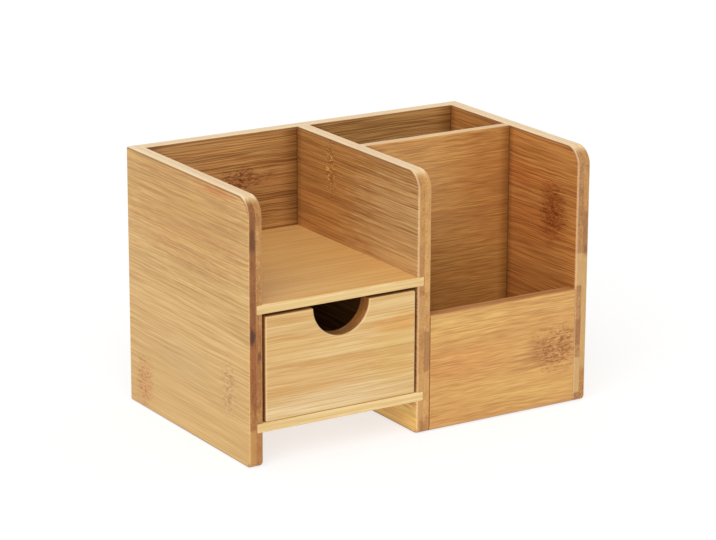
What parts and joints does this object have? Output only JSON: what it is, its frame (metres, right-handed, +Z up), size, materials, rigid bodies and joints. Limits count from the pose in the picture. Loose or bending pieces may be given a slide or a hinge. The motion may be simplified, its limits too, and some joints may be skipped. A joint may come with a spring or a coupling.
{
  "type": "drawer organizer",
  "caption": "Bamboo desk organizer with an open note tray above a sliding drawer with a half-round finger notch, beside a front and a rear pen bay.",
  "frame": {"origin": "middle of the footprint, on the table top", "axes": "+Z up, +Y towards the back panel, so the open front and the drawer face -Y; +X towards the pen bays"},
  "size_m": [0.208, 0.128, 0.14],
  "materials": {
    "bamboo_panel": "satin",
    "bamboo_inner": "satin",
    "bamboo_shelf": "satin",
    "bamboo_front": "satin",
    "bamboo_drawer": "matte",
    "dowel_wood": "matte"
  },
  "bodies": {
    "carcass": {"left_side_panel": "bamboo_panel", "center_divider": "bamboo_panel", "right_side_panel": "bamboo_panel", "back_panel": "bamboo_inner", "note_shelf": "bamboo_shelf", "drawer_shelf": "bamboo_shelf", "pen_floor": "bamboo_inner", "pen_partition": "bamboo_inner", "pen_front_panel": "bamboo_front", "back_panel_dowels": "dowel_wood", "divider_dowels": "dowel_wood", "partition_dowels": "dowel_wood", "pen_front_dowels": "dowel_wood"},
    "drawer": {"drawer_front": "bamboo_front", "drawer_left_side": "bamboo_drawer", "drawer_right_side": "bamboo_drawer", "drawer_back": "bamboo_drawer", "drawer_bottom": "bamboo_drawer", "drawer_front_dowels": "dowel_wood"}
  },
  "joints": [
    {"name": "drawer_slide", "type": "slide", "parent": "carcass", "child": "drawer", "axis": [0, -1, 0], "range_m": [0, 0.1]}
  ]
}
